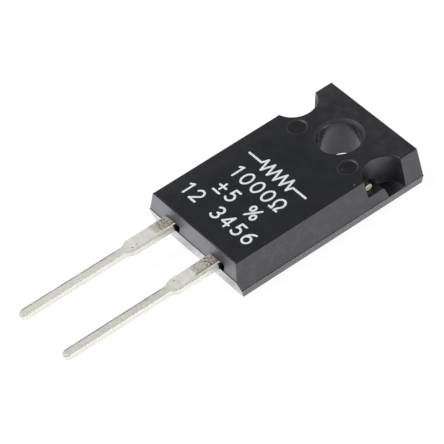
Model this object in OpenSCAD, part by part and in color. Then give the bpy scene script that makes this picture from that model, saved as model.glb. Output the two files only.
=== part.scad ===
// Power film resistor in a flat moulded package with two leads and one screw hole.
//
// The origin is on the axis of the mounting hole, in the plane of the mounting face.
// +Z runs up through the hole to the marked face, and the leads point along -Y.

/* [Body] */
// Width of the moulding, at the parting line of its long sides
body_w = 10.26; // [8.56:0.1:12.36]
// Length of the moulding from tab end to lead end, at the parting lines
body_l = 16.26; // [13.5:0.02:19.6]
// Thickness of the moulding
body_t = 3.18; // [2.64:0.02:3.9]
// Height of the parting line on the long sides and the tab end
parting_z = 0.82; // [0.68:0.02:0.99]
// Draft of the long sides above the parting line, in degrees
side_draft = 9.5; // [4:0.5:12]
// Draft of the lead end above the leads, in degrees
lead_end_draft = 12; // [4:0.5:16]
// Draft of the tab end above the parting line, in degrees
tab_end_draft = 0.5; // [0:0.5:8]
// Draft of the long sides below the parting line, in degrees
side_base_draft = 16; // [4:1:18]
// Draft of the lead end below the leads, in degrees
lead_end_base_draft = 13.5; // [4:0.5:16]
// Draft of the tab end below the parting line, in degrees
tab_end_base_draft = 5; // [0:0.5:12]
// Step in the long sides and the tab end where the upper mould half stands in
side_step = 0.02; // [0.01:0.01:0.08]
// The same step in the lead end
lead_end_step = 0.05; // [0.01:0.01:0.1]
// Width of the narrow chamfer along the upper edges and the notch rims
edge_c = 0.05; // [0.03:0.01:0.14]

/* [Mounting hole] */
// Diameter of the screw hole
hole_d = 3.2; // [2.6:0.05:3.9]
// Distance from the hole's axis to the tab end
hole_to_tab = 3.13; // [2.61:0.02:3.75]
// Width of the chamfer round the hole's upper rim
rim_w = 0.22; // [0.05:0.01:0.3]
// Depth of that chamfer
rim_h = 0.25; // [0.1:0.01:0.4]

/* [Side notches] */
// Radius of the half-round notches in the marked face
notch_r = 1.66; // [1.38:0.02:1.78]
// How far the notches' axes lie inside the parting lines of the long sides
notch_in = 0.06; // [0:0.02:0.14]
// Draft of the notch walls, in degrees
notch_draft = 3; // [1:0.5:6]
// Distance from the hole's cross line to the end of the shelf in each notch
shelf_end = 0.18; // [0.05:0.01:0.4]
// Draft of the shelf's end, in degrees
shelf_draft = 15; // [5:1:20]
// Radius of the corner between the shelf's top and its end
shelf_r = 0.2; // [0.05:0.01:0.4]

/* [Ejector marks] */
// Diameter of the two ejector-pin marks
ejector_d = 1.44; // [1.1:0.02:1.6]
// Distance between the two marks
ejector_pitch = 5.66; // [4.8:0.02:5.88]
// Distance from the hole's cross line to the marks, towards the leads
ejector_back = 1.52; // [1.34:0.02:1.9]
// Depth of the marks
ejector_depth = 0.06; // [0.03:0.01:0.12]
// Height of the raised ring round each mark
ring_h = 0.02; // [0.01:0.005:0.03]
// Width of that ring's flat crest
ring_crest = 0.04; // [0.02:0.01:0.08]
// Width of the slope outside the crest
ring_slope = 0.06; // [0.03:0.01:0.09]

/* [Leads] */
// Distance between the two leads, centre to centre
lead_pitch = 5.08; // [4.2:0.02:6.1]
// Thickness of the lead frame
lead_t = 0.5; // [0.4:0.02:0.62]
// Height of the lead frame's underside
lead_z = 1.74; // [1.45:0.01:2.09]
// Length of a lead outside the body
lead_l = 12.7; // [10.5:0.1:15.3]
// Width of the lead next to the body
root_w = 1.31; // [1.08:0.01:1.52]
// Length of that wide root outside the body
root_l = 3.4; // [2.8:0.1:4.1]
// Width of the narrow part of the lead
blade_w = 0.74; // [0.6:0.01:0.9]
// Length of the sloping shoulder between them
shoulder_l = 0.5; // [0.3:0.05:0.8]
// Length of the chamfers at the lead's tip
tip_l = 0.4; // [0.2:0.05:0.6]
// Width of the square end between those chamfers
tip_w = 0.36; // [0.25:0.01:0.45]
// Length of the foot that is soldered to the substrate
foot_l = 1.9; // [1.5:0.1:2.3]
// Slope of the step down to the foot, in degrees
step_angle = 45; // [35:5:60]
// Width of the moulded relief at one side of each lead
relief_w = 0.33; // [0.15:0.01:0.38]
// Depth of that relief
relief_d = 0.55; // [0.3:0.05:0.7]

/* [Tie bars] */
// Width of a tie bar
tie_w = 0.56; // [0.46:0.01:0.68]
// Distance from the hole's cross line to the tie bars, towards the leads
tie_back = 1.06; // [0.88:0.02:1.24]
// How far the cut end stands out of the notch's wall
tie_proud = 0.5; // [0.2:0.02:0.6]
// Length of the tie bar inside the moulding, with its anchor
tie_grip = 1.3; // [1.1:0.05:1.5]
// Length and width that the anchor head adds to the bar
anchor = 0.35; // [0.25:0.05:0.42]
// Radius of the bar's long edges
tie_edge_r = 0.22; // [0.05:0.01:0.24]

/* [Element] */
// Thickness of the ceramic substrate
substrate_t = 1.0; // [0.8:0.02:1.22]
// Least moulding between the substrate and the outside of the mounting face
substrate_wall = 0.8; // [0.65:0.05:0.98]
// Moulding between the substrate and the screw hole
substrate_to_hole = 0.95; // [0.75:0.05:1.2]
// Thickness of each printed layer
print_t = 0.03; // [0.02:0.005:0.05]
// How far a termination strip reaches past the solder at each side
termination_lap = 0.04; // [0.02:0.01:0.2]
// Bare edge of the substrate round the printed layers
print_margin = 0.4; // [0.3:0.02:0.5]
// How far the film laps over each termination
film_lap = 0.3; // [0.2:0.02:0.4]
// Gap between the lead's foot and the film
film_to_foot = 0.9; // [0.7:0.05:1.1]
// Width of the trimming cut in the film
trim_w = 0.12; // [0.08:0.01:0.2]
// Length of the trimming cut
trim_l = 2.4; // [1.5:0.1:2.9]
// How far the glass overcoat reaches past the film
overcoat_lap = 0.25; // [0.15:0.01:0.3]
// Thickness of the overcoat above the film
overcoat_t = 0.04; // [0.03:0.005:0.06]
// Thickness of the solder under a lead's foot
solder_t = 0.05; // [0.03:0.005:0.08]
// Height and width of the solder fillet round the foot
fillet = 0.12; // [0.08:0.01:0.14]

/* [Hidden] */
$fn = 96;

// Cutting tools run this far past the faces that they cut
over = 1;

hole_r = hole_d / 2;
tab_y = hole_to_tab;
lead_end_y = tab_y - body_l;

// Where the walls end and the chamfer along the upper edges begins
edge_z = body_t - edge_c;

notch_x = body_w / 2 - notch_in;

// Substrate, printed layers and the height of a lead's foot above them
substrate_x = half_width(0) - substrate_wall;
substrate_y0 = lead_face(0) + substrate_wall;
substrate_y1 = -hole_r - substrate_to_hole;
print_y0 = substrate_y0 + print_margin;
print_y1 = substrate_y1 - print_margin;
termination_reach = root_w / 2 + fillet + termination_lap;
termination_x0 = lead_pitch / 2 - termination_reach;
termination_x1 = lead_pitch / 2 + termination_reach;
termination_top = substrate_t + print_t;
film_top = termination_top + print_t;
foot_z = termination_top + solder_t;
foot_y0 = print_y0 + fillet;
foot_y1 = foot_y0 + foot_l;
film_y0 = foot_y1 + film_to_foot;
film_y1 = print_y1 - overcoat_lap;

// Half of the moulding's width at height z. In the parting line it is the lower half's.
function half_width(z) = body_w / 2
    - (z > parting_z ? side_step + (z - parting_z) * tan(side_draft)
                     : (parting_z - z) * tan(side_base_draft));

// Place of the lead end's face at height z. Its parting line is at the leads' underside.
function lead_face(z) = lead_end_y
    + (z > lead_z ? lead_end_step + (z - lead_z) * tan(lead_end_draft)
                  : (lead_z - z) * tan(lead_end_base_draft));

// Place of the tab end's face at height z
function tab_face(z) = tab_y
    - (z > parting_z ? side_step + (z - parting_z) * tan(tab_end_draft)
                     : (parting_z - z) * tan(tab_end_base_draft));

// Radius of a notch at height z
function notch_radius(z) = notch_r - (body_t - z) * tan(notch_draft);

// Extrudes an outline drawn in X and Z along Y, from y0 to y1
module along_y(y0, y1) {
    translate([0, y1, 0]) rotate([90, 0, 0]) linear_extrude(y1 - y0) children();
}

// Extrudes an outline drawn in Y and Z along X, from x0 to x1
module along_x(x0, x1) {
    translate([x0, 0, 0]) rotate([90, 0, 90]) linear_extrude(x1 - x0) children();
}

// A box between two corners
module box(low, high) {
    translate(low) cube(high - low);
}

// Rectangle with round corners, centred on the origin
module round_rect(w, h, r) {
    square([w - 2 * r, h], center = true);
    square([w, h - 2 * r], center = true);
    for (sx = [-1, 1], sy = [-1, 1])
        translate([sx * (w / 2 - r), sy * (h / 2 - r)]) circle(r);
}

// ---- Moulding ----

// The block before anything is cut: its cross section met by its side view
module moulding() {
    right = [
        [half_width(0), 0],
        [half_width(parting_z), parting_z],
        [half_width(parting_z) - side_step, parting_z],
        [half_width(edge_z), edge_z],
        [half_width(edge_z) - edge_c, body_t]
    ];
    left = [for (i = [len(right) - 1 : -1 : 0]) [-right[i][0], right[i][1]]];
    lead_end = [
        [lead_face(edge_z) + edge_c, body_t],
        [lead_face(edge_z), edge_z],
        [lead_face(lead_z) + lead_end_step, lead_z],
        [lead_face(lead_z), lead_z],
        [lead_face(0), 0]
    ];
    tab_end = [
        [tab_face(0), 0],
        [tab_face(parting_z), parting_z],
        [tab_face(parting_z) - side_step, parting_z],
        [tab_face(edge_z), edge_z],
        [tab_face(edge_z) - edge_c, body_t]
    ];
    intersection() {
        along_y(lead_end_y - over, tab_y + over) polygon(concat(right, left));
        along_x(-body_w / 2 - over, body_w / 2 + over) polygon(concat(lead_end, tab_end));
    }
}

// Screw hole with the chamfer at its upper rim
module mounting_hole() {
    rim_cut_h = rim_h + over;
    translate([0, 0, -over]) cylinder(h = body_t + 2 * over, r = hole_r);
    translate([0, 0, body_t - rim_h])
        cylinder(h = rim_cut_h, r1 = hole_r, r2 = hole_r + rim_w * rim_cut_h / rim_h);
}

// What is cut away for one notch. The shelf stays, up to the leads' underside.
module notch(side) {
    shelf_reach = notch_r + over;
    shelf_run = (lead_z - parting_z) * tan(shelf_draft);
    corner_y = -shelf_end - shelf_r * (1 - sin(shelf_draft)) / cos(shelf_draft);
    corner_z = lead_z - shelf_r;
    corner = [for (i = [0 : 8]) let (a = 90 - i * (90 - shelf_draft) / 8)
        [corner_y + shelf_r * cos(a), corner_z + shelf_r * sin(a)]];
    rim_r = notch_radius(edge_z);
    rim_cut_h = edge_c + over;
    difference() {
        translate([side * notch_x, 0, 0]) {
            translate([0, 0, parting_z])
                cylinder(h = edge_z - parting_z, r1 = notch_radius(parting_z), r2 = rim_r);
            translate([0, 0, edge_z])
                cylinder(h = rim_cut_h, r1 = rim_r, r2 = rim_r + rim_cut_h);
        }
        along_x(side * notch_x - shelf_reach, side * notch_x + shelf_reach)
            polygon(concat([[-shelf_reach, parting_z - over], [-shelf_reach, lead_z]], corner,
                           [[-shelf_end + shelf_run, parting_z],
                            [-shelf_end + shelf_run, parting_z - over]]));
    }
}

// One ejector-pin mark, a shallow dish whose wall slopes at 45 degrees
module ejector_mark(side) {
    dish_cut_h = ejector_depth + over;
    floor_r = ejector_d / 2 - ejector_depth;
    translate([side * ejector_pitch / 2, -ejector_back, body_t - ejector_depth])
        cylinder(h = dish_cut_h, r1 = floor_r, r2 = floor_r + dish_cut_h);
}

// The raised ring round one mark, as a low disc that the mark is then cut from
module ejector_ring(side) {
    crest_r = ejector_d / 2 + ring_h + ring_crest;
    translate([side * ejector_pitch / 2, -ejector_back, body_t - ring_h])
        cylinder(h = 2 * ring_h, r1 = crest_r + 2 * ring_slope, r2 = crest_r);
}

// Moulded relief at the +X side of a lead, as high as the lead is thick
module lead_relief(side) {
    translate([side * lead_pitch / 2, 0, 0])
        box([0, lead_end_y - over, lead_z],
            [root_w / 2 + relief_w, lead_end_y + relief_d, lead_z + lead_t]);
}

module body() {
    color([0.18, 0.19, 0.2])
    difference() {
        union() {
            moulding();
            for (side = [-1, 1]) ejector_ring(side);
        }
        mounting_hole();
        for (side = [-1, 1]) {
            notch(side);
            ejector_mark(side);
            lead_relief(side);
            lead(side);
            tie_bar(side);
            solder(side);
        }
        substrate_plate(over);
        printed_layers();
    }
}

// ---- Lead frame ----

// One lead: its outline from above met by its outline from the side
module lead(side) {
    tip_y = lead_end_y - lead_l;
    shoulder_y = lead_end_y - root_l;
    step_run = (lead_z - foot_z) / tan(step_angle);
    step_y = foot_y0 - step_run;
    // A bend of even thickness moves its upper corners on by this much
    lag = lead_t * tan(step_angle / 2);
    edge = [
        [tip_w / 2, tip_y],
        [blade_w / 2, tip_y + tip_l],
        [blade_w / 2, shoulder_y - shoulder_l],
        [root_w / 2, shoulder_y],
        [root_w / 2, foot_y1]
    ];
    other_edge = [for (i = [len(edge) - 1 : -1 : 0]) [-edge[i][0], edge[i][1]]];
    intersection() {
        translate([side * lead_pitch / 2, 0, 0])
            linear_extrude(lead_z + lead_t + over) polygon(concat(edge, other_edge));
        along_x(side * lead_pitch / 2 - root_w, side * lead_pitch / 2 + root_w)
            polygon([[tip_y - over, lead_z], [step_y, lead_z], [foot_y0, foot_z],
                     [foot_y1 + over, foot_z], [foot_y1 + over, foot_z + lead_t],
                     [foot_y0 + lag, foot_z + lead_t], [step_y + lag, lead_z + lead_t],
                     [tip_y - over, lead_z + lead_t]]);
    }
}

// One tie bar, from its cut end in the notch to the anchor head in the moulding
module tie_bar(side) {
    mid_z = lead_z + lead_t / 2;
    wall_x = notch_x - sqrt(pow(notch_radius(mid_z), 2) - pow(tie_back, 2));
    grip_x = wall_x - tie_grip;
    cut_x = wall_x + tie_proud;
    edge_r = min(tie_edge_r, 0.45 * lead_t);
    mirror([side < 0 ? 1 : 0, 0, 0]) {
        along_x(grip_x, cut_x)
            translate([-tie_back, mid_z]) round_rect(tie_w, lead_t, edge_r);
        along_x(grip_x, grip_x + anchor)
            translate([-tie_back, mid_z]) round_rect(tie_w + 2 * anchor, lead_t, edge_r);
    }
}

module lead_left() {
    color([0.78, 0.77, 0.73]) lead(-1);
}

module lead_right() {
    color([0.78, 0.77, 0.73]) lead(1);
}

module tie_bar_left() {
    color([0.76, 0.75, 0.7]) tie_bar(-1);
}

module tie_bar_right() {
    color([0.76, 0.75, 0.7]) tie_bar(1);
}

// ---- Element ----

// The ceramic plate. As a cutting tool it runs on below the mounting face.
module substrate_plate(below = 0) {
    box([-substrate_x, substrate_y0, -below], [substrate_x, substrate_y1, substrate_t]);
}

// One termination strip, from the lead's foot to the far end of the print
module termination(side) {
    mirror([side < 0 ? 1 : 0, 0, 0])
        box([termination_x0, print_y0, substrate_t], [termination_x1, print_y1, termination_top]);
}

// The resistive film between the strips, with its laps and its trimming cut
module film_layer() {
    lap_x = termination_x0 + film_lap;
    difference() {
        along_y(film_y0, film_y1)
            polygon([[-termination_x0, substrate_t], [termination_x0, substrate_t],
                     [termination_x0, termination_top], [lap_x, termination_top],
                     [lap_x, film_top], [-lap_x, film_top],
                     [-lap_x, termination_top], [-termination_x0, termination_top]]);
        box([-trim_w / 2, film_y1 - trim_l, substrate_t - over],
            [trim_w / 2, film_y1 + over, film_top + over]);
    }
}

// The overcoat's outer block, before the layers under it are taken away
module overcoat_block() {
    reach_x = termination_x0 + film_lap + overcoat_lap;
    box([-reach_x, film_y0 - overcoat_lap, substrate_t],
        [reach_x, film_y1 + overcoat_lap, film_top + overcoat_t]);
}

// Everything that is printed on the substrate
module printed_layers() {
    overcoat_block();
    for (side = [-1, 1]) termination(side);
}

// Solder under one foot, with a sloping fillet along its sides and its end
module solder(side) {
    low = fillet + root_w / 2;
    high = root_w / 2;
    top = foot_z + fillet;
    difference() {
        intersection() {
            translate([side * lead_pitch / 2, 0, 0])
                along_y(foot_y0 - over, foot_y1 + over)
                    polygon([[-low, termination_top], [low, termination_top],
                             [high, top], [-high, top]]);
            along_x(side * lead_pitch / 2 - root_w, side * lead_pitch / 2 + root_w)
                polygon([[foot_y0, termination_top], [foot_y1 + fillet, termination_top],
                         [foot_y1, top], [foot_y0, top]]);
        }
        lead(side);
    }
}

module substrate() {
    color([0.9, 0.88, 0.82]) substrate_plate();
}

module film() {
    color([0.22, 0.2, 0.18]) film_layer();
}

module termination_left() {
    color([0.8, 0.79, 0.76]) termination(-1);
}

module termination_right() {
    color([0.8, 0.79, 0.76]) termination(1);
}

module overcoat() {
    color([0.25, 0.42, 0.36])
    difference() {
        overcoat_block();
        film_layer();
        for (side = [-1, 1]) termination(side);
    }
}

module solder_left() {
    color([0.7, 0.7, 0.7]) solder(-1);
}

module solder_right() {
    color([0.7, 0.7, 0.7]) solder(1);
}

body();
lead_left();
lead_right();
tie_bar_left();
tie_bar_right();
substrate();
film();
termination_left();
termination_right();
overcoat();
solder_left();
solder_right();
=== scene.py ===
"""Looks of a power film resistor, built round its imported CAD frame.

Sizes inside the classes are in millimetres, in the frame's own axes: the origin is on
the axis of the mounting hole in the plane of the mounting face, +Z points to the marked
face and the leads point along -Y.
"""

import logging
import math
from dataclasses import dataclass
from enum import Enum
from typing import Mapping, Sequence, Union

import bpy
from mathutils import Matrix, Vector


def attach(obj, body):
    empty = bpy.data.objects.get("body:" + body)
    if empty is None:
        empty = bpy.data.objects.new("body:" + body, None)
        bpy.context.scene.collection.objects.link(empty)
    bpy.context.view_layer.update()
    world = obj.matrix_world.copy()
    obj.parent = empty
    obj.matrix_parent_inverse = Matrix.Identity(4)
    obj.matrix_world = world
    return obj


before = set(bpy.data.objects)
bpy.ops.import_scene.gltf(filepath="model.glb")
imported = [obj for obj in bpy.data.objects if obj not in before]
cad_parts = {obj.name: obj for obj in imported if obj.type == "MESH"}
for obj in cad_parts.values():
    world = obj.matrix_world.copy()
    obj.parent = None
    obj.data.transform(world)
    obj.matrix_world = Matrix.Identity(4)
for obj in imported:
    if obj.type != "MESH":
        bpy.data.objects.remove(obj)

LOG = logging.getLogger("resistor")
MM = 0.001
Point = tuple[float, float]
Colour = tuple[float, float, float]

# How the sharp edges of the CAD pieces are rounded: millimetres, degrees and faces
MERGE_DISTANCE = 0.001
FLAT_ANGLE = 0.3
SHARP_ANGLE = 24.0
ROUND_FACES = 2

# The depth of a grid point that lies away from all ink
OUTSIDE = -1.0


# ---- Shader graphs ----


class Value:
    """An output socket of a shader graph. Arithmetic on it adds Math nodes."""

    def __init__(self, graph: "Graph", socket: bpy.types.NodeSocket) -> None:
        """Keeps the graph that the socket belongs to."""
        self.graph = graph
        self.socket = socket

    def math(self, operation: str, *operands: "Operand", clamp: bool = False) -> "Value":
        """Adds one Math node.

        Args:
            operation: the node's operation, such as ADD.
            operands: what goes into its sockets, in their order.
            clamp: whether the result is kept between 0 and 1.

        Returns:
            The node's result.
        """
        settings = {"operation": operation, "use_clamp": clamp}
        return self.graph.node("ShaderNodeMath", settings, dict(enumerate(operands)))

    def __add__(self, other: "Operand") -> "Value":
        """self + other."""
        return self.math("ADD", self, other)

    def __radd__(self, other: "Operand") -> "Value":
        """other + self."""
        return self.math("ADD", other, self)

    def __sub__(self, other: "Operand") -> "Value":
        """self - other."""
        return self.math("SUBTRACT", self, other)

    def __rsub__(self, other: "Operand") -> "Value":
        """other - self."""
        return self.math("SUBTRACT", other, self)

    def __mul__(self, other: "Operand") -> "Value":
        """self * other."""
        return self.math("MULTIPLY", self, other)

    def __rmul__(self, other: "Operand") -> "Value":
        """other * self."""
        return self.math("MULTIPLY", other, self)

    def __truediv__(self, other: "Operand") -> "Value":
        """self / other."""
        return self.math("DIVIDE", self, other)

    def __abs__(self) -> "Value":
        """The value without its sign."""
        return self.math("ABSOLUTE", self)

    def clamped(self) -> "Value":
        """The value kept between 0 and 1."""
        return self.math("ADD", self, 0.0, clamp=True)

    def at_least(self, other: "Operand") -> "Value":
        """The larger of two values."""
        return self.math("MAXIMUM", self, other)

    def at_most(self, other: "Operand") -> "Value":
        """The smaller of two values."""
        return self.math("MINIMUM", self, other)

    def step(self, low: float, high: float) -> "Value":
        """A soft step.

        Args:
            low: the value where the step is 0.
            high: the value where it is 1, which may lie below low.

        Returns:
            A value between 0 and 1.
        """
        if low > high:
            return 1 - self.step(high, low)
        settings = {"interpolation_type": "SMOOTHSTEP"}
        inputs = {"Value": self, "From Min": low, "From Max": high}
        return self.graph.node("ShaderNodeMapRange", settings, inputs)


Operand = Union[Value, float]
SocketInput = Union[Value, float, Sequence[float]]
SocketKey = Union[str, int]


class Graph:
    """The node tree of one material or world."""

    def __init__(self, name: str, kind: str = "materials") -> None:
        """Makes the material or the world and empties its tree.

        Args:
            name: its name.
            kind: materials or worlds.
        """
        self.owner = getattr(bpy.data, kind).new(name)
        self.owner.use_nodes = True
        self.tree = self.owner.node_tree
        self.tree.nodes.clear()
        self._place: Value | None = None

    def _add(
        self,
        kind: str,
        settings: Mapping[str, object],
        inputs: Mapping[SocketKey, SocketInput],
    ) -> bpy.types.Node:
        """Adds a node, whose settings come first because they can change its sockets.

        Args:
            kind: the node's type.
            settings: its properties.
            inputs: a value or a link for each socket, by identifier, name or number.

        Returns:
            The node.
        """
        made = self.tree.nodes.new(kind)
        for key, value in settings.items():
            setattr(made, key, value)
        for key, value in inputs.items():
            socket = self._socket(made.inputs, key)
            if isinstance(value, Value):
                self.tree.links.new(value.socket, socket)
            else:
                socket.default_value = value
        return made

    def node(
        self,
        kind: str,
        settings: Mapping[str, object] | None = None,
        inputs: Mapping[SocketKey, SocketInput] | None = None,
        output: SocketKey = 0,
    ) -> Value:
        """Adds a node and takes one of its outputs.

        Args:
            kind: the node's type.
            settings: its properties.
            inputs: a value or a link for each socket, by identifier, name or number.
            output: the output that is wanted, by identifier, name or number.

        Returns:
            That output.
        """
        made = self._add(kind, settings or {}, inputs or {})
        return Value(self, self._socket(made.outputs, output))

    @staticmethod
    def _socket(sockets: bpy.types.bpy_prop_collection, key: SocketKey) -> bpy.types.NodeSocket:
        """Finds a socket.

        Args:
            sockets: the sockets of one side of a node.
            key: its number, its identifier or its name, tried in that order.

        Returns:
            The socket.
        """
        if isinstance(key, int):
            return sockets[key]
        for attribute in ("identifier", "name"):
            for socket in sockets:
                if getattr(socket, attribute) == key:
                    return socket
        raise KeyError(key)

    def place(self) -> Value:
        """The point on the surface in the frame, in millimetres."""
        if self._place is None:
            coordinates = self.node("ShaderNodeTexCoord", output="Object")
            self._place = self.scaled(coordinates, 1 / MM)
        return self._place

    def facing(self) -> Value:
        """The direction in which the surface faces, in the frame's axes."""
        return self.node("ShaderNodeTexCoord", output="Normal")

    def scaled(self, vector: Value, factor: float) -> Value:
        """A vector times a number."""
        inputs = {0: vector, "Scale": factor}
        return self.node("ShaderNodeVectorMath", {"operation": "SCALE"}, inputs)

    def stretched(self, factors: Sequence[float]) -> Value:
        """The place on the surface with each axis multiplied by its own factor."""
        inputs = {0: self.place(), 1: factors}
        return self.node("ShaderNodeVectorMath", {"operation": "MULTIPLY"}, inputs)

    def away_from(self, x: float, y: float) -> Value:
        """Distance from an upright line at x and y, in millimetres."""
        inputs = {0: self.stretched((1.0, 1.0, 0.0)), 1: (x, y, 0.0)}
        return self.node("ShaderNodeVectorMath", {"operation": "DISTANCE"}, inputs, "Value")

    def axis(self, vector: Value, name: str) -> Value:
        """One component of a vector, named X, Y or Z."""
        return self.node("ShaderNodeSeparateXYZ", inputs={0: vector}, output=name)

    def noise(
        self,
        size: float,
        detail: float = 2.0,
        vector: Value | None = None,
        roughness: float = 0.5,
    ) -> Value:
        """Soft noise.

        Args:
            size: the size of its features in millimetres.
            detail: how many finer octaves are added.
            vector: where the noise is read, if not at the place on the surface.
            roughness: the weight of the finer octaves.

        Returns:
            A value about 0.5, seldom below 0.2 or above 0.8.
        """
        inputs = {
            "Vector": vector or self.place(),
            "Scale": 1 / size,
            "Detail": detail,
            "Roughness": roughness,
        }
        return self.node("ShaderNodeTexNoise", {"noise_dimensions": "3D"}, inputs)

    def cells(self, size: float) -> Value:
        """Distance to the nearest of scattered points, as a share of their spacing, the size."""
        inputs = {"Vector": self.place(), "Scale": 1 / size}
        return self.node("ShaderNodeTexVoronoi", {"feature": "F1"}, inputs, "Distance")

    def blend(self, first: SocketInput, second: SocketInput, factor: Operand) -> Value:
        """Mixes two colours.

        Args:
            first: the colour where the factor is 0.
            second: the colour where the factor is 1.
            factor: the share of the second.

        Returns:
            The colour.
        """
        colours = [c if isinstance(c, Value) else (*c, 1.0) for c in (first, second)]
        settings = {"data_type": "RGBA", "clamp_factor": True}
        inputs = {"Factor_Float": factor, "A_Color": colours[0], "B_Color": colours[1]}
        return self.node("ShaderNodeMix", settings, inputs, "Result_Color")

    def layered(self, tone: Value, *layers: tuple[SocketInput, Operand]) -> Value:
        """Lays colours over each other.

        Args:
            tone: the lowest colour.
            layers: each next colour, with a mask that is 1 where the colour is whole.

        Returns:
            The colour that shows.
        """
        for colour, mask in layers:
            tone = self.blend(tone, colour, mask)
        return tone

    def bump(self, height: Value, depth: float) -> Value:
        """A normal bent by a height field.

        Args:
            height: the field, where 1 is the full depth.
            depth: that depth in millimetres.

        Returns:
            The normal.
        """
        return self.node("ShaderNodeBump", inputs={"Height": height, "Distance": depth * MM})

    def finish(self, **sockets: SocketInput) -> bpy.types.Material:
        """Ends the graph with one principled surface.

        Args:
            sockets: the values of its sockets, with _ for each space in a name.

        Returns:
            The material.
        """
        inputs = {
            key.replace("_", " "): (*value, 1.0) if isinstance(value, tuple) else value
            for key, value in sockets.items()
        }
        return self.show(self.node("ShaderNodeBsdfPrincipled", inputs=inputs))

    def show(self, surface: Value, output: str = "ShaderNodeOutputMaterial") -> bpy.types.ID:
        """Links a surface to the tree's output.

        Args:
            surface: the surface or the world's background.
            output: the type of the output node.

        Returns:
            The material or the world.
        """
        self._add(output, {}, {"Surface": surface})
        return self.owner


# ---- Finishes ----


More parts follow.
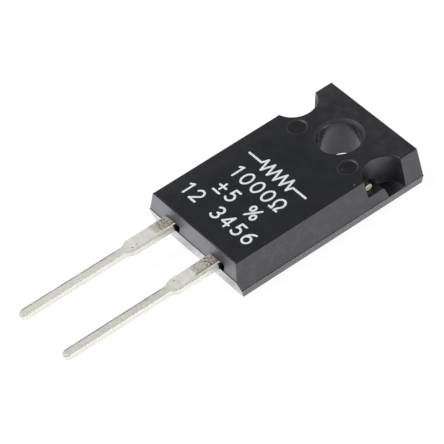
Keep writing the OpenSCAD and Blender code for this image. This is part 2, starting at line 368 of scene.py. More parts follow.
@dataclass(frozen=True)
class EpoxyFinish:
    """Black epoxy moulding compound with its fine spark-eroded grain.

    A pair of places gives where a change starts and where it is complete.
    """

    colour: Colour = (0.0074, 0.0080, 0.0104)
    pale: Colour = (0.0158, 0.0168, 0.0196)
    bloom_and_sheen: Colour = (0.038, 0.0385, 0.041)
    etched_and_reflection: Colour = (0.161, 0.156, 0.171)
    floor_reflection: Colour = (0.25, 0.25, 0.25)
    deep: Colour = (0.004, 0.0042, 0.005)
    chip: Colour = (0.16, 0.16, 0.16)
    spot: Colour = (0.050, 0.049, 0.056)
    patch: Colour = (0.036, 0.031, 0.046)
    stain: Colour = (0.035, 0.024, 0.014)
    scored: Colour = (0.085, 0.084, 0.090)
    tint: Colour = (0.94, 0.94, 1.0)
    ior: float = 1.55
    roughness: float = 0.28
    side_roughness: float = 0.36
    base_roughness: float = 0.18
    core_roughness: float = 0.17
    grain_size: float = 0.055
    cloud_size: float = 1.6
    mottle_size: float = 0.8
    patch_size: float = 0.6
    spot_size: float = 0.14
    filler_size: float = 0.16
    drag_size: float = 0.09
    drag_stretch: float = 0.06
    relief: float = 0.012
    core_r: float = 1.62
    core_soft: Point = (0.02, -0.01)
    rim_w: Point = (0.24, 0.20)
    ejector_x: float = 2.83
    ejector_y: float = -1.52
    ejector_r: float = 0.66
    ejector_soft: float = 0.08
    ring_in: float = 0.04
    ring_out: Point = (0.16, 0.06)
    parting_z: float = 0.82
    parting_soft: float = 0.04
    flash_h: Point = (0.07, 0.02)
    lead_x: float = 2.54
    lead_top_z: float = 2.24
    lead_shade_start: Point = (-0.6, 0.3)
    lead_shade_end: Point = (1.9, 0.6)
    stain_half_w: Point = (0.85, 0.45)
    stain_h: Point = (0.42, 0.05)
    skin_x: Point = (-2.2, -5.2)
    skin_y: Point = (-3.2, 3.0)
    deep_y: Point = (1.5, -2.0)
    lead_end_y: Point = (-12.2, -12.5)
    floor_reflection_x: Point = (-1.0, 3.0)
    chips: Sequence[tuple[float, float, float]] = ((2.66, -1.9, 0.07), (4.5, -2.3, 0.09))
    chip_core_r: float = 0.03

    def material(self) -> bpy.types.Material:
        """Builds the finish.

        Returns:
            The material. Its sides show faint marks along the direction of ejection.
        """
        g = Graph("moulding_compound")
        x, y, z = (g.axis(g.place(), name) for name in "XYZ")
        up = g.axis(g.facing(), "Z")
        grain = g.noise(self.grain_size, 2.0)
        cloud = g.noise(self.cloud_size, 3.0)
        mottle = g.noise(self.mottle_size, 2.0).step(0.35, 0.7)
        patches = g.noise(self.patch_size, 3.0).step(0.48, 0.66)
        spots = g.noise(self.spot_size, 3.0, roughness=0.7)
        filler = g.cells(self.filler_size).step(0.16, 0.05)
        drag = g.noise(self.drag_size, 1.0, g.stretched((1.0, 1.0, self.drag_stretch)))
        upright = 1 - abs(up).step(0.35, 0.7)
        low = z.step(self.parting_z, self.parting_z - self.parting_soft) * upright
        lead_end = g.axis(g.facing(), "Y").step(-0.75, -0.9) * y.step(*self.lead_end_y)
        pin_floor, ring = self._ejectors(g)
        core, rim = self._hole(g, up)
        # The skin pales towards the tab and the left edge, and unevenly
        skin = y.step(*self.skin_y) * 0.75 + x.step(*self.skin_x) * 0.5
        pale = (grain - 0.5) * 1.3 + (cloud - 0.5) * 1.2 + filler * 0.35 + 0.42
        tone = g.layered(
            g.blend(self.colour, self.pale, pale.clamped()),
            (self.bloom_and_sheen, (skin * (0.45 + mottle * 0.5)).clamped() * up.step(0.8, 0.95)),
            (self.deep, pin_floor * (0.35 + mottle * 0.45) * up.step(0.5, 0.9)),
            # Painted highlight: a faint pale ring round each ejector mark
            (self.bloom_and_sheen, ring * up.step(0.3, 0.6) * 0.45),
            (self.deep, upright * y.step(*self.deep_y)),
            (self.patch, upright * patches * 0.5),
            (self.spot, upright * (spots * 3.4 - 1.6).clamped() * 0.85),
            (self.scored, low * drag.step(0.5, 0.72) * 0.8),
            # The face round the leads is paler: partly its own finish, partly a painted reflection
            # of the pale floor
            (self.etched_and_reflection, lead_end * self._end_face_paleness(x, spots)),
            # Painted reflection of the pale floor on the lower band of the face round the leads,
            # brighter towards +X
            (self.floor_reflection, lead_end * low * (0.35 + x.step(*self.floor_reflection_x) * 0.4)),
            (self.stain, lead_end * self._stain(x, z, spots) * 0.9),
            (self.chip, self._chips(g) * 0.8),
            # Painted highlight: the chamfer round the hole is paler all round
            (self.bloom_and_sheen, rim * 0.6),
            (self.etched_and_reflection, core * 0.15),
        )
        base = up.step(-0.04, -0.08) * upright
        rough = self.roughness + upright * (self.side_roughness - self.roughness)
        rough = rough + core * (self.core_roughness - self.side_roughness)
        rough = rough + (ring * 0.16).at_least(rim * 0.24)
        rough = rough + base * (self.base_roughness - self.side_roughness)
        rough = rough + (cloud - 0.5) * 0.08 + (grain - 0.5) * 0.10 + upright * (drag - 0.5) * 0.08
        flash = abs(z - self.parting_z).step(*self.flash_h) * upright
        flash = flash * g.noise(self.spot_size, 2.0).step(0.42, 0.66) * (1 - lead_end)
        height = grain * 0.7 + upright * drag * 0.4 - filler * 0.25 + flash * 4.0
        return g.finish(
            Base_Color=tone,
            Roughness=rough,
            IOR=self.ior,
            Specular_Tint=self.tint,
            Normal=g.bump(height * (1 - core * 0.7), self.relief),
        )

    def _ejectors(self, g: Graph) -> tuple[Value, Value]:
        """Masks of the two ejector marks.

        Args:
            g: the graph.

        Returns:
            The mask of the marks' floors and the mask of the rings round them.
        """
        left, right = (g.away_from(side * self.ejector_x, self.ejector_y) for side in (-1, 1))
        distance = right.at_most(left)
        r = self.ejector_r
        ring_ends, ring_is_whole = (r + w for w in self.ring_out)
        ring = distance.step(r - self.ring_in, r) * distance.step(ring_ends, ring_is_whole)
        return distance.step(r, r - self.ejector_soft), ring

    def _hole(self, g: Graph, up: Value) -> tuple[Value, Value]:
        """Masks of the wall of the screw hole and of the chamfer at its rim.

        Args:
            g: the graph.
            up: how far the surface faces up.

        Returns:
            The wall's mask and the chamfer's mask.
        """
        distance = g.away_from(0.0, 0.0)
        core, rim = (
            distance.step(*(self.core_r + w for w in widths))
            for widths in (self.core_soft, self.rim_w)
        )
        rim = rim * (1 - core)
        return core, rim * up.step(0.35, 0.55) * up.step(0.97, 0.9)

    def _end_face_paleness(self, x: Value, spots: Value) -> Value:
        """How pale the coarse face round the leads is: partly its own paler finish and partly a
        painted reflection of the pale floor, less towards +X and much less beside each lead, where
        painted shade lies.

        Args:
            x: the place across the body.
            spots: noise.

        Returns:
            A value between 0 and 1.
        """
        # Painted shade darkens the face beside each lead, most of all to its right
        offsets = (x + self.lead_x, x - self.lead_x)
        left, right = (
            across.step(*self.lead_shade_end) * across.step(*self.lead_shade_start) for across in offsets
        )
        return (0.90 - x * 0.035 + (spots - 0.5) * 1.5 - (left + right) * 0.62).clamped()

    def _stain(self, x: Value, z: Value, spots: Value) -> Value:
        """Mask of the brown stain above each lead.

        Args:
            x: the place across the body.
            z: the height above the mounting face.
            spots: noise.

        Returns:
            The mask.
        """
        beside = abs(abs(x) - self.lead_x).step(*self.stain_half_w)
        above = (z - self.lead_top_z).step(*self.stain_h)
        return beside * above * spots.step(0.36, 0.54)

    def _chips(self, g: Graph) -> Value:
        """Mask of the small pale chips beside the right notch."""
        first, second = (g.away_from(x, y).step(r, self.chip_core_r) for x, y, r in self.chips)
        return first.at_least(second)


@dataclass(frozen=True)
class Wear:
    """What differs between the leads: how far marks reach from the moulding, and how worn it is."""

    residue_l: float
    brown_l: float
    seam_l: float
    amount: float


@dataclass(frozen=True)
class PlatingFinish:
    """Matte solder plating on copper, with brown residue where the lead leaves the moulding.

    A pair of places gives where a change starts and where it is complete. Those named out
    are measured from the moulding along the lead.
    """

    name: str
    centre_x: float
    face_y: float
    wear: Wear
    half_w: float = 0.655
    roll_w: float = 0.28
    roll_depth: float = 0.10
    roll_soft: float = 0.03
    seam_in: Point = (-0.17, -0.11)
    seam_soft: float = 0.2
    pocket_shade_in: Point = (0.10, 0.15)
    residue_x: float = 0.14
    blotch_size: float = 0.55
    grain_size: float = 0.05
    dent_size: float = 0.16
    warp_size: float = 0.3
    speckle_size: float = 0.15
    streak_size: float = 0.09
    scuff_size: float = 0.2
    crumb_size: float = 0.16
    rust_size: float = 0.25
    pit_spacing: float = 0.9
    along: tuple[float, float, float] = (1.0, 0.05, 1.0)
    partly_along: tuple[float, float, float] = (1.0, 0.6, 1.0)
    streaked: tuple[float, float, float] = (1.0, 0.35, 1.0)
    blade_out: Point = (3.1, 4.3)
    bare_out: Point = (3.4, 4.0)
    scuff_out: Point = (3.8, 4.3)
    scuff_end_out: Point = (7.2, 6.0)
    scuff_x: Point = (0.12, -0.16)
    far_edge_shade_out: Point = (3.9, 4.6)
    far_edge_shade_x: float = 0.27
    far_edge_shade_w: Point = (0.09, 0.04)
    pocket_shade_out: Point = (0.12, 0.08)
    metallic: float = 0.35
    roughness: float = 0.46
    colour: Colour = (0.84, 0.82, 0.775)
    dull: Colour = (0.73, 0.71, 0.655)
    side: Colour = (0.53, 0.525, 0.495)
    worn: Colour = (0.64, 0.625, 0.565)
    scuffed: Colour = (0.40, 0.40, 0.36)
    far_edge_shade: Colour = (0.26, 0.25, 0.22)
    film: Colour = (0.40, 0.375, 0.31)
    residue: Colour = (0.52, 0.49, 0.425)
    residue_dark: Colour = (0.025, 0.020, 0.015)
    rust: Colour = (0.36, 0.20, 0.13)
    pit: Colour = (0.10, 0.095, 0.08)
    pocket_shade: Colour = (0.006, 0.006, 0.005)

    def material(self) -> bpy.types.Material:
        """Builds the finish.

        Returns:
            The material for the lead whose centre line is at centre_x.
        """
        g = Graph(self.name)
        x = g.axis(g.place(), "X") - self.centre_x
        out = self.face_y - g.axis(g.place(), "Y")
        top = g.axis(g.facing(), "Z").step(0.6, 0.9)
        blotch = g.noise(self.blotch_size, 3.0)
        grain = g.noise(self.grain_size, 2.0)
        rolled = g.noise(self.grain_size, 1.0, g.stretched(self.along))
        dents = g.noise(self.dent_size, 3.0, g.stretched(self.partly_along))
        # One edge of the top is rolled down, and the residue lies on the flat beside it
        roll_x = self.half_w - self.roll_w
        roll = ((x - roll_x) / self.roll_w).clamped()
        flat_top = top * x.step(roll_x + self.roll_soft, roll_x - self.roll_soft)
        # The residue is brown speckle at the moulding and thins out in streaks
        warp = (g.noise(self.warp_size, 2.0) - 0.5) * 0.5
        side = (x + self.residue_x) / self.half_w
        reach = (out + warp) / self.wear.residue_l
        crust = (reach * reach * reach + side * side * 0.35).step(1.05, 0.75) * flat_top
        brown = ((out + warp) / self.wear.brown_l).step(1.15, 0.7) * crust
        speckle = g.noise(self.speckle_size, 2.0, roughness=0.7)
        streak = g.noise(self.streak_size, 2.0, g.stretched(self.streaked))
        thin = crust * streak.step(0.38, 0.66)
        thick = brown * speckle.step(0.36, 0.50)
        seam = flat_top * x.step(*(roll_x + w for w in self.seam_in))
        seam = seam * out.step(self.wear.seam_l, self.wear.seam_l - self.seam_soft)
        seam = seam * (1.2 - streak * 0.7)
        pits = g.cells(self.pit_spacing).step(0.075, 0.045) * top
        # Painted shade: the lead's outer edge turns black near the moulding, where it goes into the
        # pocket beside the lead
        pocket_shade = x.step(*(roll_x + w for w in self.pocket_shade_in)) * out.step(*self.pocket_shade_out)
        bare = out.step(*self.bare_out) * (1 - top)
        film = (thin * 0.65 + crust * (0.15 + self.wear.amount * 0.3)).clamped()
        coat = g.layered(
            self._metal(g, x, out, top, blotch, dents, rolled, bare),
            (self.film, film),
            (self._crumbs(g), thick * (0.62 + self.wear.amount * 0.24)),
            (self.pit, pits.at_least(seam * 0.7)),
            (self.pocket_shade, pocket_shade),
        )
        dirt = (thin * 0.5).at_least(thick * 0.9).at_least(pits * 0.7).at_least(seam * 0.7)
        height = grain * 0.5 + rolled * 0.6 + dents * 1.5
        height = height + thick * speckle * 1.4 + thin * streak * 0.7 - pits * 1.5
        height = height * (0.005 + top * 0.013) - roll * roll * top * self.roll_depth
        return g.finish(
            Base_Color=coat,
            Metallic=(self.metallic * (1 - dirt.at_least(pocket_shade))).at_least(bare),
            Roughness=self.roughness + (blotch - 0.5) * 0.18 + dirt * 0.2,
            Normal=g.bump(height, 1.0),
        )

    def _metal(
        self,
        g: Graph,
        x: Value,
        out: Value,
        top: Value,
        blotch: Value,
        dents: Value,
        rolled: Value,
        bare: Value,
    ) -> Value:
        """The colour of the plating before anything lies on it.

        Args:
            g: the graph.
            x: the place across the lead.
            out: the distance from the moulding.
            top: the mask of the top face.
            blotch: wide noise.
            dents: fine noise.
            rolled: noise in lines along the lead.
            bare: the mask of the narrow end's sides.

        Returns:
            The colour.
        """
        worn = out.step(*self.blade_out) * top * (0.35 + blotch.step(0.34, 0.62) * 0.65)
        scuff = g.noise(self.scuff_size, 3.0, g.stretched(self.partly_along)).step(0.46, 0.58)
        scuff = scuff * x.step(*self.scuff_x) * out.step(*self.scuff_out)
        scuff = scuff * out.step(*self.scuff_end_out) * top
        # Painted shade: a dark line runs along the top of the narrow end near its far edge
        far_edge_shade = abs(x + self.far_edge_shade_x).step(*self.far_edge_shade_w) * out.step(*self.far_edge_shade_out) * top
        return g.layered(
            g.blend(self.dull, self.colour, (blotch * 0.5 + dents * 0.5).step(0.36, 0.60)),
            (self.side, bare),
            (self.worn, worn * self.wear.amount),
            (self.scuffed, scuff * 0.75 * self.wear.amount),
            (self.far_edge_shade, far_edge_shade * rolled.step(0.25, 0.6)),
        )

    def _crumbs(self, g: Graph) -> Value:
        """The colour of the thick residue, from dark to pale with some rust."""
        pale = g.noise(self.crumb_size, 1.5).step(0.47, 0.59)
        crumbs = g.blend(self.residue_dark, self.residue, pale)
        return g.blend(crumbs, self.rust, g.noise(self.rust_size, 1.0).step(0.55, 0.64) * 0.6)


@dataclass(frozen=True)
class ShearedMetalFinish:
    """The cut end of a plated tie bar, with the streaks of the shear; its other faces are darkened
    with painted shade.
    """

    colour: Colour = (0.72, 0.71, 0.58)
    torn: Colour = (0.50, 0.48, 0.37)
    side_shade: Colour = (0.16, 0.15, 0.10)
    roughness: float = 0.5
    streak_size: float = 0.06
    torn_size: float = 0.18
    depth: float = 0.01

    def material(self) -> bpy.types.Material:
        """Builds the finish.

        Returns:
            The material.
        """
        g = Graph("sheared_metal")
        streak = g.noise(self.streak_size, 2.0, g.stretched((1.0, 1.0, 0.25)))
        torn = g.noise(self.torn_size, 2.0)
        cut = abs(g.axis(g.facing(), "X")).step(0.55, 0.8)
        fresh = g.blend(self.torn, self.colour, torn.step(0.3, 0.55))
        return g.finish(
            # Painted shade: every face but the cut end is dark
            Base_Color=g.blend(self.side_shade, fresh, cut),
            Metallic=0.85 - cut * 0.55,
            Roughness=self.roughness + (streak - 0.5) * 0.25 - (1 - cut) * 0.15,
            Normal=g.bump(streak * 0.6 + torn * 0.4, self.depth),
        )


@dataclass(frozen=True)
class CeramicFinish:
    """Fired alumina: a fine off-white grain with a few dark specks."""

    colour: Colour = (0.80, 0.785, 0.72)
    warm: Colour = (0.765, 0.745, 0.67)
    speck: Colour = (0.25, 0.21, 0.16)
    roughness: float = 0.55
    cloud_size: float = 1.8
    grain_size: float = 0.05
    speck_spacing: float = 0.7
    depth: float = 0.005

    def material(self) -> bpy.types.Material:
        """Builds the finish.

        Returns:
            The material.
        """
        g = Graph("alumina")
        cloud = g.noise(self.cloud_size, 3.0)
        grain = g.noise(self.grain_size, 3.0)
        specks = g.cells(self.speck_spacing).step(0.06, 0.03)
        colour = g.blend(self.warm, self.colour, cloud.step(0.3, 0.6))
        return g.finish(
            Base_Color=g.blend(colour, self.speck, specks * 0.8),
            Roughness=self.roughness + (grain - 0.5) * 0.2,
            Normal=g.bump(grain, self.depth),
        )


@dataclass(frozen=True)
class PrintFinish:
    """A layer that was screen printed and fired, or printed ink."""

    name: str
    colour: Colour
    second: Colour
    roughness: float
    metallic: float = 0.0
    cloud_size: float = 0.9
    mesh: float = 0.12
    depth: float = 0.003

    def material(self) -> bpy.types.Material:
        """Builds the finish.

        Returns:
            The material.
        """
        g = Graph(self.name)
        cloud = g.noise(self.cloud_size, 3.0)
        weave = g.noise(self.mesh, 2.0)
        mottle = (cloud * 0.4 + weave * 0.6).step(0.3, 0.55)
        return g.finish(
            Base_Color=g.blend(self.second, self.colour, mottle),
            Metallic=self.metallic,
            Roughness=self.roughness + (weave - 0.5) * 0.2,
            Normal=g.bump(weave, self.depth),
        )


# ---- Sub-assemblies ----


def dress(node: str, material: bpy.types.Material) -> bpy.types.Object:
    """Gives a CAD node a material.

    Args:
        node: the node's name.
        material: what it is made of.

    Returns:
        The node's object.
    """
    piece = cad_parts[node]
    piece.data.materials.clear()
    piece.data.materials.append(material)
    return piece


def soften(piece: bpy.types.Object, radius: float) -> None:
    """Rounds the sharp edges of a piece with modifiers.

    Args:
        piece: the piece, whose own mesh stays as it is.
        radius: the radius of the rounding in millimetres.
    """
    weld = piece.modifiers.new("weld", "WELD")
    weld.merge_threshold = MERGE_DISTANCE * MM
    flat = piece.modifiers.new("flat", "DECIMATE")
    flat.decimate_type = "DISSOLVE"
    flat.angle_limit = math.radians(FLAT_ANGLE)
    bevel = piece.modifiers.new("bevel", "BEVEL")
    bevel.width = radius * MM
    bevel.segments = ROUND_FACES
    bevel.limit_method = "ANGLE"
    bevel.angle_limit = math.radians(SHARP_ANGLE)
    bevel.use_clamp_overlap = False
    bevel.miter_outer = "MITER_ARC"
    normals = piece.modifiers.new("normals", "WEIGHTED_NORMAL")
    normals.keep_sharp = False
    normals.weight = 100


@dataclass
class Housing:
    """The moulded body."""

    edge_radius: float = 0.007
    finish: EpoxyFinish = EpoxyFinish()

    def build(self) -> None:
        """Dresses the body and rounds its edges."""
        soften(dress("body", self.finish.material()), self.edge_radius)


@dataclass
class LeadFrame:
    """The two leads and the cut ends of the tie bars."""

    lead_x: float = 2.54
    face_y: float = -13.13
    edge_radius: float = 0.09
    tie_bar_edge_radius: float = 0.02
    left: Wear = Wear(residue_l=1.45, brown_l=1.0, seam_l=0.4, amount=0.55)
    right: Wear = Wear(residue_l=1.75, brown_l=0.75, seam_l=1.95, amount=1.0)
    cut: ShearedMetalFinish = ShearedMetalFinish()

    def build(self) -> None:
        """Dresses the leads and the tie bars."""
        for name, side, wear in (("left", -1, self.left), ("right", 1, self.right)):
            plating = PlatingFinish(f"plating_{name}", side * self.lead_x, self.face_y, wear)
            soften(dress(f"lead_{name}", plating.material()), self.edge_radius)
            soften(dress(f"tie_bar_{name}", self.cut.material()), self.tie_bar_edge_radius)


@dataclass
class Element:
    """The ceramic plate and what is printed and soldered on it."""

    ceramic: CeramicFinish = CeramicFinish()
    film: PrintFinish = PrintFinish(
        "resistive_film", (0.05, 0.045, 0.04), (0.03, 0.027, 0.024), 0.5
    )
    glass: PrintFinish = PrintFinish("overcoat_glass", (0.07, 0.20, 0.15), (0.04, 0.13, 0.10), 0.2)
    silver: PrintFinish = PrintFinish(
        "silver_print", (0.66, 0.65, 0.61), (0.5, 0.49, 0.45), 0.45, metallic=1.0
    )
    solder: PrintFinish = PrintFinish(
        "solder", (0.52, 0.52, 0.51), (0.38, 0.38, 0.38), 0.3, metallic=1.0
    )

    def build(self) -> None:
        """Dresses the substrate and the layers that the moulding hides."""
        dress("substrate", self.ceramic.material())
        dress("film", self.film.material())
        dress("overcoat", self.glass.material())
        strip, joint = self.silver.material(), self.solder.material()
        for side in ("left", "right"):
            dress(f"termination_{side}", strip)
            dress(f"solder_{side}", joint)


# ---- Marking ----


def arc(centre: Point, radii: Point, start: float, end: float, steps: int = 20) -> list[Point]:
    """Points along part of an ellipse.

    Args:
        centre: the ellipse's centre.
        radii: its radii along x and y.
        start: the angle of the first point in degrees, from +x towards +y.
        end: the angle of the last point.
        steps: how many stretches the arc has.

    Returns:
        The points, ends included.
    """
    angles = [math.radians(start + (end - start) * i / steps) for i in range(steps + 1)]
    (x, y), (radius_x, radius_y) = centre, radii
    return [(x + radius_x * math.cos(a), y + radius_y * math.sin(a)) for a in angles]


class Glyph(Enum):
    """Centre lines of the characters, where the height is 1 from the foot line up."""

    ZERO = [arc((0.34, 0.5), (0.34, 0.5), 90, 450, 36)]
    ONE = [[(0.1, 0.84), (0.36, 1.0), (0.36, 0.0)]]
    TWO = [arc((0.31, 0.7), (0.3, 0.3), 160, -35) + [(0.02, 0.0), (0.64, 0.0)]]
    THREE = [arc((0.3, 0.745), (0.28, 0.255), 150, -90) + arc((0.3, 0.25), (0.31, 0.25), 90, -150)]
    FOUR = [[(0.5, 0.0), (0.5, 1.0), (0.0, 0.28), (0.68, 0.28)]]
    FIVE = [[(0.58, 1.0), (0.13, 1.0), (0.09, 0.55)] + arc((0.29, 0.32), (0.33, 0.32), 120, -145)]
    SIX = [arc((0.34, 0.31), (0.31, 0.31), 0, 360, 30), arc((0.66, 0.33), (0.63, 0.67), 100, 180)]
    PERCENT = [
        [(0.12, 0.0), (0.78, 1.0)],
        arc((0.14, 0.76), (0.18, 0.22), 0, 360, 24),
        arc((0.76, 0.24), (0.18, 0.22), 0, 360, 24),
    ]
    PLUS_MINUS = [
        [(0.0, 0.0), (0.66, 0.0)],
        [(0.0, 0.58), (0.66, 0.58)],
        [(0.33, 0.27), (0.33, 0.89)],
    ]
    OHM = [
        [(0.0, 0.0), (0.26, 0.0)]
        + arc((0.38, 0.6), (0.36, 0.4), 235, -55, 30)
        + [(0.50, 0.0), (0.76, 0.0)]
    ]
    GAP = []


@dataclass(frozen=True)
class Line:
    """One row of the marking."""

    name: str
    glyphs: Sequence[Glyph]
    centre_y: float
    pitch: float = 1.17


@dataclass
class Marking:
    """White ink on the marked face: a resistor symbol and rows of plain figures."""

    face_z: float = 3.18
    stroke: float = 0.17
    height: float = 1.06
    thickness: float = 0.012
    round_share: float = 0.35
    edge_share: float = 0.35
    sunk: float = 0.004
    cell: float = 0.035
    symbol_y: float = -5.5
    symbol_x: float = 3.15
    zigzag_x: float = 1.75
    zigzag_h: float = 1.02
    peaks: int = 5
    ink: PrintFinish = PrintFinish(
        "marking_ink", (0.76, 0.79, 0.80), (0.62, 0.65, 0.66), 0.5, mesh=0.06
    )
    lines: Sequence[Line] = (
        Line("value", (Glyph.ONE, Glyph.ZERO, Glyph.ZERO, Glyph.ZERO, Glyph.OHM), -7.22),
        Line("tolerance", (Glyph.PLUS_MINUS, Glyph.FIVE, Glyph.GAP, Glyph.PERCENT), -8.97),
        Line(
            "figures",
            (Glyph.ONE, Glyph.TWO, Glyph.GAP, Glyph.THREE, Glyph.FOUR, Glyph.FIVE, Glyph.SIX),
            -10.68,
            1.15,
        ),
    )

    def build(self) -> None:
        """Prints the symbol and each line."""
        ink = self.ink.material()
        self._print("marking_symbol", self._symbol(), ink)
        for line in self.lines:
            self._print(f"marking_{line.name}", self._strokes(line), ink)

    def _symbol(self) -> list[list[Point]]:
        """Draws a zigzag resistor symbol between two straight ends.

        Returns:
            Its one stroke.
        """
        half = self.zigzag_h / 2
        step = self.zigzag_x / self.peaks
        points = [(-self.symbol_x, 0.0), (-self.zigzag_x, 0.0)]
        for i in range(2 * self.peaks):
            points.append((-self.zigzag_x + step * (i + 0.5), half if i % 2 == 0 else -half))
        points += [(self.zigzag_x, 0.0), (self.symbol_x, 0.0)]
        return [[(x, y + self.symbol_y) for x, y in points]]

    def _strokes(self, line: Line) -> list[list[Point]]:
        """Sets the characters of one line.

        Args:
            line: the line.

        Returns:
            The strokes, centred across the body.
        """
        found = []
        start = -line.pitch * len(line.glyphs) / 2
        foot = line.centre_y - self.height / 2
        for i, glyph in enumerate(line.glyphs):
            strokes = glyph.value
            if not strokes:
                continue
            xs = [x for stroke in strokes for x, _ in stroke]
            middle = (min(xs) + max(xs)) / 2
            left = start + line.pitch * (i + 0.5) - middle * self.height
            for stroke in strokes:
                found.append([(left + x * self.height, foot + y * self.height) for x, y in stroke])
        return found

    def _print(
        self, name: str, strokes: Sequence[Sequence[Point]], ink: bpy.types.Material
    ) -> None:
        """Makes one piece of ink from strokes.

        Args:
            name: the piece's name.
            strokes: the centre lines of its strokes.
            ink: its material.
        """
        segments = [(a, b) for stroke in strokes for a, b in zip(stroke, stroke[1:])]
        ends = [end for segment in segments for end in segment]
        origin = (min(x for x, _ in ends) - self.stroke, min(y for _, y in ends) - self.stroke)
        vertices, top = self._top(self._depths(segments, origin), origin)
        base = self.face_z - self.sunk
        count = len(vertices)
        faces = top + [[v + count for v in reversed(ring)] for ring in top]
        faces += [[b, a, a + count, b + count] for a, b in outline(top)]
        vertices += [(x, y, base) for x, y, _ in vertices]
        mesh = bpy.data.meshes.new(name)
        mesh.from_pydata([(x * MM, y * MM, z * MM) for x, y, z in vertices], [], faces)
        mesh.validate()
        mesh.update()
        mesh.materials.append(ink)
        piece = bpy.data.objects.new(name, mesh)
        bpy.context.scene.collection.objects.link(piece)
        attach(piece, "root")
        LOG.info("%s: %d faces", name, len(mesh.polygons))

    def _depths(
        self, segments: Sequence[tuple[Point, Point]], origin: Point
    ) -> dict[tuple[int, int], float]:
        """Measures how far inside the ink the points of a grid lie.

        Args:
            segments: the straight lines that the strokes follow.
            origin: the place of the grid's point 0, 0.

        Returns:
            The depth of each grid point near the ink by column and row, below 0 outside the ink.
        """
        depths: dict[tuple[int, int], float] = {}
        reach = self.stroke / 2 + 2 * self.cell
        for a, b in segments:
            columns, rows = (
                range(
                    int((min(a[k], b[k]) - reach - origin[k]) / self.cell),
                    int((max(a[k], b[k]) + reach - origin[k]) / self.cell) + 2,
                )
                for k in (0, 1)
            )
            for i in columns:
                for j in rows:
                    x, y = origin[0] + i * self.cell, origin[1] + j * self.cell
                    depth = self.stroke / 2 - distance_to_segment(x, y, a, b)
                    depths[i, j] = max(depths.get((i, j), OUTSIDE), depth)
        return depths

    def _top(
        self, depths: Mapping[tuple[int, int], float], origin: Point
    ) -> tuple[list[tuple[float, float, float]], list[list[int]]]:
        """Makes the rounded top of the ink, one face for each cell of the grid that it covers.

        Args:
            depths: the depth of each grid point by column and row, above 0 inside the ink.
            origin: the place of the grid's point 0, 0.

        Returns:
            The vertices and the faces.
        """
        vertices: list[tuple[float, float, float]] = []
        index: dict[object, int] = {}
        faces: list[list[int]] = []

        def vertex(key: object, column: float, row: float, depth: float) -> int:
            """Finds a vertex, or makes it when it is first met.

            Args:
                key: what tells it from the others.
                column: its place on the grid, which may lie between two columns.
                row: its place on the grid, which may lie between two rows.
                depth: how far inside the ink it lies.

            Returns:
                Its number.
            """
            if key not in index:
                index[key] = len(vertices)
                x, y = origin[0] + column * self.cell, origin[1] + row * self.cell
                vertices.append((x, y, self._surface_z(depth)))
            return index[key]

        for i, j in depths:
            square = [(i, j), (i + 1, j), (i + 1, j + 1), (i, j + 1)]
            ring: list[int] = []
            for here, there in zip(square, square[1:] + square[:1]):
                inner, outer = depths.get(here, OUTSIDE), depths.get(there, OUTSIDE)
                if inner > 0:
                    ring.append(vertex(here, *here, inner))
                if (inner > 0) != (outer > 0):
                    t = inner / (inner - outer)
                    column, row = (p + t * (q - p) for p, q in zip(here, there))
                    ring.append(vertex(frozenset((here, there)), column, row, 0.0))
            if len(ring) >= 3:
                faces.append(ring)
        return vertices, faces

    def _surface_z(self, depth: float) -> float:
        """The height of the ink's surface, which is rounded at its edge.

        Args:
            depth: how far inside the ink's outline the place lies.

        Returns:
            The height above the mounting face.
        """
        rise = min(1.0, depth / (self.round_share * self.stroke))
        share = self.edge_share + (1 - self.edge_share) * math.sqrt(rise * (2 - rise))
        return self.face_z + self.thickness * share


def outline(faces: Sequence[Sequence[int]]) -> list[tuple[int, int]]:
    """Finds the edges that only one face has.

    Args:
        faces: the numbers of each face's vertices, in one turning direction.

    Returns:
        The edges, each in the direction that its face takes it.
    """
    edges: dict[tuple[int, int], None] = {}
    for ring in faces:
        for a, b in zip(ring, [*ring[1:], ring[0]]):
            if (b, a) in edges:
                del edges[b, a]
            else:
                edges[a, b] = None
    return list(edges)


def distance_to_segment(x: float, y: float, a: Point, b: Point) -> float:
    """Measures how far a point lies from the straight line between two points.

    Args:
        x: the point's place across.
        y: the point's place along.
        a: one end of the line.
        b: the other end.

    Returns:
        The distance.
    """
    dx, dy = b[0] - a[0], b[1] - a[1]
    length = dx * dx + dy * dy
    t = 0.0 if length == 0 else max(0.0, min(1.0, ((x - a[0]) * dx + (y - a[1]) * dy) / length))
    return math.hypot(x - a[0] - t * dx, y - a[1] - t * dy)


# ---- Studio ----


@dataclass(frozen=True)
class Softbox:
    """One square area light, aimed at the object."""

    name: str
    azimuth: float
    elevation: float
    distance: float
    size: float
    strength: float


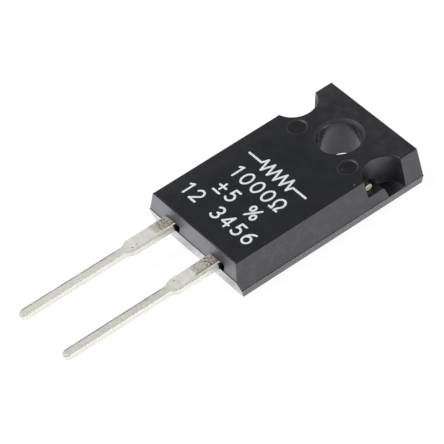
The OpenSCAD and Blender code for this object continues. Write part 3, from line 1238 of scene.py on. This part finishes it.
@dataclass
class Studio:
    """Camera, lights, pale floor and backdrop."""

    azimuth: float = 59.503
    elevation: float = 44.531
    roll: float = -9.800
    target: tuple[float, float, float] = (-1.860, -9.395, 0.0)
    distance: float = 232.68
    lens: float = 271.63
    sensor: float = 36.0
    floor_size: float = 6000.0
    floor_z: float = -0.01
    horizon: float = 0.8
    ceiling: float = 0.20
    horizon_end: Point = (0.10, 0.50)
    glow: float = 0.95
    shadow: float = 0.10
    under: tuple[Point, Point] = ((-4.6, -12.7), (4.6, 2.5))
    under_hole_r: float = 1.9
    paper: Colour = (0.8, 0.8, 0.8)
    shade: Colour = (0.08, 0.08, 0.08)
    shade_share: float = 0.9
    shade_far_x: Point = (-8.8, -7.8)
    shade_near_x: Point = (-5.9, -6.3)
    shade_y: float = 1.0
    shade_half_l: Point = (2.0, 1.2)
    softboxes: Sequence[Softbox] = (
        Softbox("key", -42.0, 56.0, 320.0, 160.0, 0.85),
        Softbox("right", 110.0, 8.0, 320.0, 150.0, 0.40),
    )

    def direction(self, azimuth: float, elevation: float) -> Vector:
        """The direction from the object to a point at an azimuth and an elevation in degrees."""
        a, e = math.radians(azimuth), math.radians(elevation)
        return Vector((math.sin(a) * math.cos(e), -math.cos(a) * math.cos(e), math.sin(e)))

    def build(self) -> None:
        """Sets up everything round the object."""
        bpy.context.scene.view_settings.view_transform = "Standard"
        self._camera()
        self._world()
        self._floor()
        for box in self.softboxes:
            self._light(box)

    def _camera(self) -> None:
        """Places the camera."""
        back = self.direction(self.azimuth, self.elevation)
        azimuth = math.radians(self.azimuth)
        level = Vector((math.cos(azimuth), math.sin(azimuth), 0))
        upright = back.cross(level)
        c, s = math.cos(math.radians(self.roll)), math.sin(math.radians(self.roll))
        right, up = c * level + s * upright, -s * level + c * upright
        place = (Vector(self.target) + back * self.distance) * MM
        data = bpy.data.cameras.new("camera")
        data.sensor_width = self.sensor
        data.lens = self.lens
        data.clip_start, data.clip_end = 0.01, 50.0
        camera = bpy.data.objects.new("camera", data)
        bpy.context.scene.collection.objects.link(camera)
        camera.matrix_world = Matrix(
            [[right[i], up[i], back[i], place[i]] for i in range(3)] + [[0, 0, 0, 1]]
        )
        bpy.context.scene.camera = camera

    def _world(self) -> None:
        """Makes a dim ceiling over a white horizon."""
        g = Graph("studio", "worlds")
        height = g.axis(g.node("ShaderNodeTexCoord", output="Generated"), "Z")
        light = self.horizon - height.step(*self.horizon_end) * (self.horizon - self.ceiling)
        seen = g.node("ShaderNodeLightPath", output="Is Camera Ray")
        white = {"Color": (1.0, 1.0, 1.0, 1.0), "Strength": light.at_least(seen)}
        sky = g.node("ShaderNodeBackground", inputs=white)
        bpy.context.scene.world = g.show(sky, "ShaderNodeOutputWorld")

    def _floor(self) -> None:
        """Lays a pale floor that keeps the object's shadow."""
        h = self.floor_size / 2
        (x0, y0), (x1, y1) = self.under
        # The floor is open under the object, except under its hole
        points = [(-h, -h), (h, -h), (h, h), (-h, h), (x0, y0), (x1, y0), (x1, y1), (x0, y1)]
        faces = [[i, (i + 1) % 4, (i + 1) % 4 + 4, i + 4] for i in range(4)]
        disc = arc((0.0, 0.0), (self.under_hole_r, self.under_hole_r), 0, 360, 48)[:-1]
        faces.append(list(range(len(points), len(points) + len(disc))))
        mesh = bpy.data.meshes.new("floor")
        mesh.from_pydata([(x * MM, y * MM, self.floor_z * MM) for x, y in points + disc], [], faces)
        floor = bpy.data.objects.new("floor", mesh)
        bpy.context.scene.collection.objects.link(floor)
        mesh.materials.append(self._floor_material())

    def _floor_material(self) -> bpy.types.Material:
        """Makes the floor's material.

        Returns:
            White paper that is clear from below. In reflections a patch of it to the left of
            the object is dark.
        """
        g = Graph("pale_floor")
        camera, glossy, through = (
            g.node("ShaderNodeLightPath", output=f"Is {kind} Ray")
            for kind in ("Camera", "Glossy", "Transmission")
        )
        shown = self._paper(g, self.glow, (self.shadow, self.shadow, self.shadow, 1.0))
        x, y = (g.axis(g.place(), name) for name in "XY")
        shade = x.step(*self.shade_far_x) * abs(y - self.shade_y).step(*self.shade_half_l)
        shade = shade * x.step(*self.shade_near_x)
        glow = glossy.at_least(through) * (1 - shade * self.shade_share)
        mirrored = self._paper(g, glow, g.blend(self.paper, self.shade, shade))
        lit = g.node("ShaderNodeMixShader", inputs={"Fac": camera, 1: mirrored, 2: shown})
        clear = g.node("ShaderNodeBsdfTransparent")
        back = g.node("ShaderNodeNewGeometry", output="Backfacing")
        return g.show(g.node("ShaderNodeMixShader", inputs={"Fac": back, 1: lit, 2: clear}))

    @staticmethod
    def _paper(g: Graph, glow: Operand, colour: SocketInput) -> Value:
        """White paper.

        Args:
            g: the floor's graph.
            glow: how much of its white doesn't depend on the lamps.
            colour: the colour of the rest, which the lamps light and the object shades.

        Returns:
            The shader.
        """
        glow = g.node("ShaderNodeEmission", inputs={"Strength": glow})
        matt = g.node("ShaderNodeBsdfDiffuse", inputs={"Color": colour})
        return g.node("ShaderNodeAddShader", inputs={0: glow, 1: matt})

    def _light(self, box: Softbox) -> None:
        """Adds one softbox.

        Args:
            box: the light. Its strength is what it adds to a white surface that faces it.
        """
        data = bpy.data.lights.new(box.name, "AREA")
        data.shape = "SQUARE"
        data.size = box.size * MM
        # A lamp of power P and area A sends P / (pi A) along its axis
        data.energy = box.strength * math.pi * (box.distance * MM) ** 2 * math.pi
        lamp = bpy.data.objects.new(box.name, data)
        bpy.context.scene.collection.objects.link(lamp)
        back = self.direction(box.azimuth, box.elevation)
        lamp.location = back * box.distance * MM
        lamp.rotation_mode = "QUATERNION"
        lamp.rotation_quaternion = (-back).to_track_quat("-Z", "Y")


def main() -> None:
    """Builds the looks and reports each piece."""
    logging.basicConfig(level=logging.INFO, format="%(message)s")
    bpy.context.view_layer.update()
    for part in (Studio(), Housing(), LeadFrame(), Element(), Marking()):
        part.build()
        LOG.info("%s is built", type(part).__name__)


if __name__ == "__main__":
    main()
